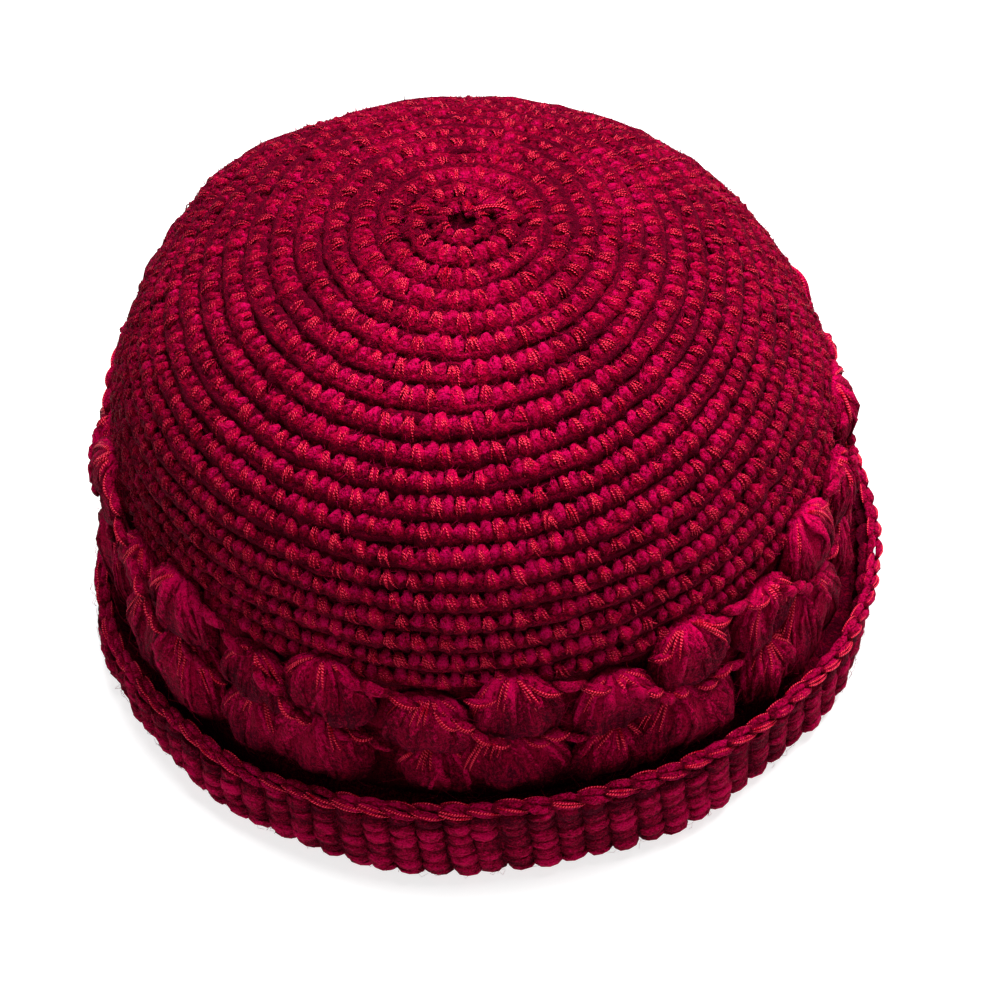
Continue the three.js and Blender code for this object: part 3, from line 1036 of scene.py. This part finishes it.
def puff_chains():
    """Chains from each high top to the next low one, and from there to the next lower puff.

    One single loop more lies past each low top.
    """
    high, low = upper[0::2], upper[1::2]
    next_high = np.roll(high, -1)
    turn_on = np.where(next_high < low, TURN, 0)
    lower_top = puff_tops(next_high + PUFFS) + np.stack([turn_on, 0 * turn_on, 0 * turn_on])
    high_top, low_top = puff_tops(high), puff_tops(low)
    return joined([
        chain_leaves(moved(high_top, 2.6, 1.2, 1.4), moved(low_top, -1.6, -0.6, 1.8), 3, 1.5, 0.12),
        chain_leaves(moved(low_top, 1.6, 1.2, 3.4), moved(lower_top, -0.3, -0.6, 4.8), 4, 1.45, 0.10),
        chain_leaves(moved(low_top, 6.0, -1.5, 1.0), moved(low_top, 9.5, -3.0, 1.4), 1, 1.2),
    ])


def lower_chains():
    """A short chain on the right shoulder of each large lower puff."""
    tops = puff_tops(lower[0::2])
    return chain_leaves(moved(tops, 2.5, 0.8, 3.0), moved(tops, 11.0, 3.0, 2.4), 3, 1.25, 0.12)


piece_from("upper_puff_thread", puff_threads(upper), thread)
piece_from("lower_puff_thread", puff_threads(lower), thread)
piece_from("upper_puff_chain", puff_chains(), loop_yarn)
piece_from("lower_puff_chain", lower_chains(), loop_yarn)
piece_from("puff_chain_thread", joined(chain_thread_parts), thread)

# %% [markdown]
# ## The brim
# The brim folds out and up from the band, so it shows the fabric's reverse: plump ribs of short
# bars with dark grooves between them. It is high at the front and low at the back, so its height
# and radius come from a small table by angle. Each rib is one strand that swells at every bar, and
# its streaks of fibre run across it, as the bars do.

# %% Brim measures
BRIM_TABLE = np.array([
    # angle from the front, top, outer radius
    (-180, 15.5, 101.0), (-150, 14.5, 100.6), (-120, 12.8, 100.2), (-95, 12.2, 100.2),
    (-80, 12.6, 100.8), (-70, 16.0, 101.4), (-60, 20.6, 101.5), (-50, 23.0, 101.4),
    (-38, 22.6, 101.6), (-26, 26.0, 101.7), (-15, 28.6, 101.9), (0, 30.8, 102.0),
    (15, 30.4, 102.1), (30, 29.2, 102.5), (45, 27.6, 103.2), (60, 24.0, 103.9),
    (70, 19.8, 103.7), (80, 15.6, 103.2), (95, 12.4, 102.4), (120, 12.6, 101.6),
    (150, 14.5, 101.2), (180, 15.5, 101.0),
])
BULGE_TABLE = np.array([
    # angle from the front, how far the foot of the wall swells out
    (-180, 0.0), (-95, 0.3), (-80, 1.2), (-70, 1.9), (-60, 1.0), (-45, 1.9), (-30, 1.4), (-14, 1.8),
    (0, 0.3), (12, -0.6), (20, 0.6), (28, 1.1), (38, -1.2), (45, -1.2), (57, 0.4), (70, -1.2),
    (80, -1.8), (95, -0.5), (180, 0.0),
])
BULGE_HEIGHT = 18
FOLD_CORNER = 6.0
CORNER_LENGTH = FOLD_CORNER * np.pi / 2
COLUMNS = 96
BAR_PITCH = 4.1
print("brim:", BRIM_TABLE[:, 1].min(), "to", BRIM_TABLE[:, 1].max(), "high,", COLUMNS, "ribs")


def brim_at(theta):
    """Top height and outer radius at an angle, eased between the table's rows."""
    angle = degrees_round(theta)
    i = np.clip(np.searchsorted(BRIM_TABLE[:, 0], angle, side="right") - 1, 0, len(BRIM_TABLE) - 2)
    low, high = BRIM_TABLE[i], BRIM_TABLE[i + 1]
    share = np.clip((angle - low[..., 0]) / (high[..., 0] - low[..., 0]), 0, 1)
    share = eased(share)[..., None]
    value = low * (1 - share) + high * share
    return value[..., 1], value[..., 2]


def brim_profile(theta, s, out):
    """Radius, height and bend at s down the reverse face: down the wall, round the fold's corner, inward.

    The bend is the angle gone round the corner, and the bulge falls as a square from the corner up.
    """
    top, radius = brim_at(theta)
    wall = top - EDGE_HEIGHT - FOLD_CORNER
    bend = np.clip((s - wall) / FOLD_CORNER, 0, np.pi / 2)
    under = np.maximum(s - wall - CORNER_LENGTH, 0)
    low = 1 - np.clip((wall - s) / BULGE_HEIGHT, 0, 1) ** 2
    radius = radius + low * np.interp(degrees_round(theta), BULGE_TABLE[:, 0], BULGE_TABLE[:, 1])
    r = radius - FOLD_CORNER + (FOLD_CORNER + out) * np.cos(bend) - under
    z = FOLD_CORNER - (FOLD_CORNER + out) * np.sin(bend) + np.maximum(wall - s, 0)
    return r, z, bend


def on_brim(theta, s, out):
    """The point and the outward direction on the brim's reverse face."""
    r, z, bend = brim_profile(theta, s, out)
    point = np.stack(np.broadcast_arrays(r * np.sin(theta), -r * np.cos(theta), z), axis=-1)
    normal = np.stack(np.broadcast_arrays(
        np.cos(bend) * np.sin(theta), -np.cos(bend) * np.cos(theta), -np.sin(bend)), axis=-1)
    return point, normal


# %% The brim's cloth
BRIM_BACK_OUT = -2.0
INSIDE_HEIGHTS = (2.2, 5.0, 9.0, 13.0, 16.6)
INSIDE_FOOT_RADIUS = 90.2
INSIDE_LEAN = 3.4
INSIDE_LEAN_HEIGHT = 8
BAND_SIDE_HEIGHTS = (16.6, 12.0, 8.0)
BAND_SIDE_RADIUS = 91.2
TROUGH = dict(inner_radius=93.5, inner_z=4.4, outer_in=6.5, outer_z=4.2)
FRONT_IN = 4.4
FRONT_FOOT_Z = 7.0
FRONT_RISE_LESS = 6.8


def brim_shell(columns=384):
    """The folded sheet behind the bars, as rings of radius and height.

    They go down its reverse face and under, up inside the band, down the band's outer side, along the
    trough and up the sheet's front face.
    """
    theta = -np.arange(columns) / columns * TURN
    top, radius = brim_at(theta)
    wall = top - EDGE_HEIGHT - FOLD_CORNER
    rings = []
    for share in np.linspace(-0.02, 1, 8):
        r, z, _ = brim_profile(theta, share * (wall + CORNER_LENGTH), BRIM_BACK_OUT)
        rings.append((r, z))
    bars = bar_relief(np.zeros(1) + 0.5, theta / TURN * COLUMNS)
    level = 0 * theta
    for z in INSIDE_HEIGHTS:
        lean = INSIDE_LEAN * np.clip(z / INSIDE_LEAN_HEIGHT, 0, 1)
        rings.append((INSIDE_FOOT_RADIUS - lean + 0.5 * bars, z + level))
    for z in BAND_SIDE_HEIGHTS:
        rings.append((BAND_SIDE_RADIUS + level, z + level))
    rings.append((TROUGH["inner_radius"] + level, TROUGH["inner_z"] + level))
    rings.append((radius - TROUGH["outer_in"], TROUGH["outer_z"] + level))
    for share in (0.0, 0.35, 0.7, 1.0):
        rings.append((radius - FRONT_IN, FRONT_FOOT_Z + share * (top - EDGE_HEIGHT - FRONT_RISE_LESS)))
    r = np.array([ring[0] for ring in rings])
    z = np.array([ring[1] for ring in rings])
    points = np.stack([r * np.sin(theta), -r * np.cos(theta), z], axis=-1)
    along = np.arange(len(rings) + 1) * 4.0
    shape = rings_mesh(points[None], along[None], True)
    # Painted shade: the whole sheet darker, as it lies behind the ribs and in the trough.
    shape["shade"] = 0.5 * shape["shade"]
    return shape


piece_from("brim_back", brim_shell(), shaded_back_yarn, ["brim"])


# %% The brim's ribs
def brim_ribs(samples=40, sides=10):
    """Plump ribs from under the edge chain, round the fold and under.

    The radius swells once per bar of the stitch, by the size of a sine, and each rib leans a little.
    """
    column = np.arange(COLUMNS)[:, None]
    middle = TURN / COLUMNS * (column + 0.5)
    top, _ = brim_at(middle)
    s = -1.4 + np.linspace(0, 1, samples) * (top - EDGE_HEIGHT - FOLD_CORNER + CORNER_LENGTH + 5.5)
    bar = s / BAR_PITCH + rng.uniform(0, 1, (COLUMNS, 1)) + rng.normal(0, 0.06, s.shape)
    swell = np.abs(np.sin(np.pi * bar)) ** 0.7 * (1 + 0.3 * np.sin(2.3 * bar + 7 * column))
    lean = 0.012 * s + 0.05 * rng.normal(0, 1, (COLUMNS, 1)) + rng.normal(0, 0.02, s.shape)
    theta = middle + TURN / COLUMNS * lean
    out = -2.75 + 0.6 * swell + rng.normal(0, 0.2, (COLUMNS, 1)) + rng.normal(0, 0.10, s.shape)
    radius = 2.9 + 0.45 * swell + rng.normal(0, 0.10, s.shape)
    path, normal = on_brim(theta, s, out)
    shape = tubes(path, normal, radius, sides, flat=0.62, lumps=0.035, out=out, down=0 * s)
    # Painted light and shade: lighter on the bars' swells, darker between them, and a dark notch under the
    # edge chain.
    notch_shade = 0.5 * np.exp(-((s - 0.6) / 1.6) ** 2)
    light = 0.5 * (swell - 0.75) - notch_shade
    shape["shade"] = np.clip(shape["shade"] + np.repeat(light.ravel(), sides), 0, 1)
    return shape


piece_from("brim_ribs", brim_ribs(), bar_yarn)

# %% [markdown]
# ## The edge of the brim
# The last round ends in a chain, so the edge is a row of slanted loops, each starting under the
# one before it. A beaded thread lies along most of them. Two leaf-shaped strands per stitch, one
# on each side of the edge, give the chain its plaited look.


# %% Edge chain
EDGE_LOOP_RADIUS = 1.10
EDGE_THREAD_RADIUS = 0.27


def edge_path(share, inner):
    """Centre lines of the loops: along the edge, in or out, and up, by lines and half a sine of the share.

    An outer loop falls from its near end to its far end, and an inner one bows up between its ends.
    """
    stitch = np.arange(COLUMNS)[:, None]
    jitter = rng.normal(0, 1, (3, COLUMNS, 1))
    bow = np.sin(np.pi * share)
    if inner:
        at, in_out, height = -0.66 + 1.3 * share, -2.9 + 1.0 * share, -1.8 + 0.9 * bow
    else:
        at, in_out, height = -0.66 + 1.35 * share, -1.3 + 0.55 * bow, -0.85 - 2.6 * share
    theta = TURN / COLUMNS * (stitch + 0.5 + at + 0.03 * jitter[0])
    top, radius = brim_at(theta)
    r = radius + in_out + 0.12 * jitter[1]
    z = top + height + 0.15 * jitter[2]
    point = np.stack([r * np.sin(theta), -r * np.cos(theta), z], axis=-1)
    lean = -0.5 if inner else 0.75
    normal = np.stack([lean * np.sin(theta), -lean * np.cos(theta), 0.7 + 0 * theta], axis=-1)
    return point, unit(normal)


def edge_width(share):
    """Radius of a loop along its length: a power of a sine, thin at both tips."""
    return EDGE_LOOP_RADIUS * np.sin(np.pi * (0.08 + 0.84 * share)) ** 0.6


def edge_loops(inner):
    """The leaf-shaped loops on one side of the edge."""
    share = np.linspace(0, 1, 9)
    path, normal = edge_path(share, inner)
    shape = tubes(path, normal, edge_width(share)[None], LEAF_SIDES, flat=0.85, lumps=0.12)
    # Painted shade: darker at the tips of the loops, where they tuck under.
    shape["shade"] = leaf_shade(share, 0.3, 0.8, 0.4, len(path))
    return shape


def edge_threads(inner, side):
    """Threads along most of the loops: out to the loop's surface, and a share of its width to one side."""
    share = np.linspace(0.08, 0.95, 9)
    path, normal = edge_path(share, inner)
    keep = rng.random(len(path)) < 0.8
    width = edge_width(share)[:, None]
    across = unit(np.cross(normal, np.gradient(path, axis=1)))
    path = path + normal * width * 0.85 * (0.98 - 0.25 * side**2) + across * side * width * 0.6
    radius = EDGE_THREAD_RADIUS * np.sin(np.pi * (0.1 + 0.8 * share))[None] ** 0.4
    return tubes(path[keep], normal[keep], radius, THREAD_SIDES)


chain = joined([edge_loops(False), edge_loops(True)])
piece_from("edge_chain", chain, edge_yarn, ["brim_edge"])
threads = joined([edge_threads(False, -0.7), edge_threads(False, 0.5), edge_threads(True, 0.3)])
piece_from("edge_thread", threads, thread)

# %% [markdown]
# ## Stray fibres
# Brushed yarn has a halo of loose fibres, and they soften every edge. A particle system would
# hide them from the export, so each fibre is a small mesh of its own. On the crown it is a straight
# spike, as there are many. On the puffs and the brim it is a hair-thin strand of three rings that
# leaves the yarn, arcs a little way out and turns back.


# %% Fibres
HAIR_RADIUS = 0.038
HAIR_SIDES = 4


def hair_paths(base, normal, length, reach):
    """Short arcs from each base point: a random tangent carries them along, and half a sine lifts them.

    The square of the share curls them sideways.
    """
    n = len(base)
    heading = unit(rng.normal(0, 1, (n, 3)))
    heading = unit(heading - normal * np.sum(heading * normal, axis=-1, keepdims=True))
    side = np.cross(heading, normal)
    share = np.linspace(0, 1, 3)[None, :, None]
    length = rng.gamma(3.0, length / 3, (n, 1, 1))
    lift = rng.gamma(2.0, reach / 2, (n, 1, 1)) * np.sin(np.pi * np.minimum(share * 0.9 + 0.05, 1))
    curl = rng.normal(0, 0.35, (n, 1, 1)) * length * share**2
    path = base[:, None] + heading[:, None] * length * share
    path = path + normal[:, None] * lift + side[:, None] * curl
    return path, np.broadcast_to(normal[:, None], path.shape)


def hairs(base, normal, length=1.9, reach=0.5):
    """Hair-thin strands on those arcs, kept above the floor."""
    path, up = hair_paths(base, normal, length, reach)
    path[..., 2] = np.maximum(path[..., 2], 0.1)
    return tubes(path, up, HAIR_RADIUS, HAIR_SIDES)


def thorns(base, heading, radius):
    """Straight hairs as three-sided spikes: a tiny triangle about each base, joined to one point."""
    n = len(base)
    side = unit(np.cross(heading, np.array([0.31, 0.52, 0.80])))
    other = unit(np.cross(heading, side))
    turn = np.arange(3)[None, :, None] / 3 * TURN
    ring = base[:, None] + radius * (np.cos(turn) * side[:, None] + np.sin(turn) * other[:, None])
    points = np.concatenate([ring, (base + heading)[:, None]], axis=1)
    faces = np.array([(0, 1, 3), (1, 2, 3), (2, 0, 3), (2, 1, 0)]) + 4 * np.arange(n)[:, None, None]
    return dict(points=points.reshape(-1, 3), faces=faces.reshape(-1, 3),
                uv=rng.uniform(0, 9, (n * 12, 2)), shade=np.full(n * 4, 0.5))


# %% Fuzz on each part
SPIKES = 13500
SPIKE_RADIUS = 0.14


def crown_fuzz(count, arm):
    """Spikes on one kind of arm, thickest at its upper end: they lie along it, upwards and a little out."""
    stitches = np.array([stitches_in(number) for number in rounds])
    number = rng.choice(ROUNDS, count, p=stitches / stitches.sum())
    stitch = rng.integers(0, stitches[number])
    q = rng.beta(1.1, 1.6, count)
    along, down, out = np.array([stitch_drift[i][:, j] for i, j in zip(number, stitch)]).T
    theta = TURN / stitches[number] * (stitch + along + on_arm(q, arm["at"]) + round_shift[number])
    arc = np.maximum(round_arc(number) + down + on_arm(q, arm["down"]), CENTRE_ARC)
    out = out + on_arm(q, arm["out"]) * (1 - flatness(theta)) - sinking(theta)
    centre = on_side(theta, arc, out)
    normal = side_normal(theta, arc)
    up = up_side(normal)
    round_turn = rng.uniform(-1.3, 1.3, count)[:, None]
    radius = on_arm(q, arm["radius"])[:, None]
    outward = 0.75 * np.cos(round_turn) * normal + np.sin(round_turn) * unit(np.cross(up, normal))
    heading = unit(0.5 * outward + 0.6 * up + rng.normal(0, 0.45, (count, 3)))
    length = rng.gamma(4.0, 0.34, (count, 1))
    return thorns(centre + 0.93 * radius * outward, length * heading, SPIKE_RADIUS)


def puff_hairs(count):
    """Hairs at random places on the fronts of the puffs."""
    which = rng.choice(puff_number, count)
    turn = rng.uniform(-1.35, 1.35, count)
    b = rng.uniform(0.1, 0.85, count)
    base = on_puff(which, turn, b, -0.25)
    return hairs(base, puff_normal(which), 4.5, 0.8)


def brim_hairs(count):
    """Hairs at random places on the brim's ribs, and none on its edge chain."""
    theta = rng.uniform(0, TURN, count)
    s = rng.uniform(-3, 24, count)
    top, _ = brim_at(theta)
    keep = s < top - EDGE_HEIGHT - 4.5
    base, normal = on_brim(theta[keep], s[keep], -0.4 + 0 * theta[keep])
    return hairs(base, normal)


piece_from("crown_plain_fuzz", crown_fuzz(SPIKES, PLAIN_ARM), fibre)
piece_from("crown_threaded_fuzz", crown_fuzz(SPIKES, THREADED_ARM), fibre)
piece_from("puff_fibres", puff_hairs(2500), fibre)
piece_from("brim_fibres", brim_hairs(2600), fibre)

# %% [markdown]
# ## The floor, the light and the camera
# The floor is plain and pale, with a glow of its own that keeps it even. One large soft light stands
# high above, a little behind the hat and to the right, and a weak one fills from the front left. The
# camera looks down at the front from the photo's angle, rolled a little as the photo is, and its
# lens shift puts the hat where the photo has it.

# %% Floor
FLOOR_HALF = 12.0
FLOOR_GREY = 0.4
FLOOR_GLOW = 0.75
floor_mesh = bpy.data.meshes.new("floor")
corners = [(x * FLOOR_HALF, y * FLOOR_HALF, 0) for x, y in ((-1, -1), (1, -1), (1, 1), (-1, 1))]
floor_mesh.from_pydata(corners, [], [(0, 1, 2, 3)])
floor = bpy.data.objects.new("floor", floor_mesh)
bpy.context.scene.collection.objects.link(floor)
floor_finish = bpy.data.materials.new("pale_floor")
floor_finish.use_nodes = True
set_sockets(floor_finish.node_tree.nodes["Principled BSDF"], {
    "Base Color": (FLOOR_GREY, FLOOR_GREY, FLOOR_GREY, 1), "Roughness": 0.9,
    "Emission Color": (1, 1, 1, 1), "Emission Strength": FLOOR_GLOW,
})
floor_mesh.materials.append(floor_finish)
print("floor:", 2 * FLOOR_HALF, "metres wide")

# %% Light
WORLD_LIGHT = 0.22
LIGHT_AIM = Vector((0, 0, 0.06))
world = bpy.data.worlds.new("studio")
world.use_nodes = True
set_sockets(world.node_tree.nodes["Background"], {"Color": (1, 1, 1, 1), "Strength": WORLD_LIGHT})
bpy.context.scene.world = world
bpy.context.scene.view_settings.view_transform = "Standard"


def soft_light(name, place, size, power):
    """A square area light at a place in metres, facing the crown."""
    data = bpy.data.lights.new(name, "AREA")
    data.size = size
    data.energy = power
    light = bpy.data.objects.new(name, data)
    bpy.context.scene.collection.objects.link(light)
    light.location = place
    light.rotation_euler = (LIGHT_AIM - Vector(place)).to_track_quat("-Z", "Y").to_euler()
    print(f"{name} light: {size} m wide, {power} W")


soft_light("key", (0.24, 0.30, 1.12), 0.85, 43)
soft_light("fill", (-0.5, -0.9, 0.9), 0.9, 1)

# %% Camera
CAMERA_DISTANCE = 745.0
CAMERA_HEIGHT_ANGLE = np.radians(51.1)
CAMERA_ROLL = np.radians(3.23)
CAMERA_TARGET = np.array([0.0, 0.0, 3.9])
PIXELS_PER_MM = 3.81
PHOTO_CENTRE = np.array([482.3, 542.7])
PHOTO_SIZE = 1000.0

camera_data = bpy.data.cameras.new("camera")
camera_data.sensor_width = 36.0
camera_data.lens = PIXELS_PER_MM * CAMERA_DISTANCE / PHOTO_SIZE * camera_data.sensor_width
camera_data.shift_x = (PHOTO_SIZE / 2 - PHOTO_CENTRE[0]) / PHOTO_SIZE
camera_data.shift_y = (PHOTO_CENTRE[1] - PHOTO_SIZE / 2) / PHOTO_SIZE
camera_data.clip_end = 20.0
camera = bpy.data.objects.new("camera", camera_data)
bpy.context.scene.collection.objects.link(camera)
forward_share, height_share = np.cos(CAMERA_HEIGHT_ANGLE), np.sin(CAMERA_HEIGHT_ANGLE)
back = np.array([0.0, -forward_share, height_share])
right, up = np.array([1.0, 0, 0]), np.array([0.0, height_share, forward_share])
kept, turned = np.cos(CAMERA_ROLL), np.sin(CAMERA_ROLL)
right, up = kept * right - turned * up, turned * right + kept * up
place = (CAMERA_TARGET + back * CAMERA_DISTANCE) * MM
camera.matrix_world = Matrix([
    (right[0], up[0], back[0], place[0]),
    (right[1], up[1], back[1], place[1]),
    (right[2], up[2], back[2], place[2]),
    (0, 0, 0, 1),
])
bpy.context.scene.camera = camera
print("camera at", np.round(place, 3), "lens", round(camera_data.lens, 1))
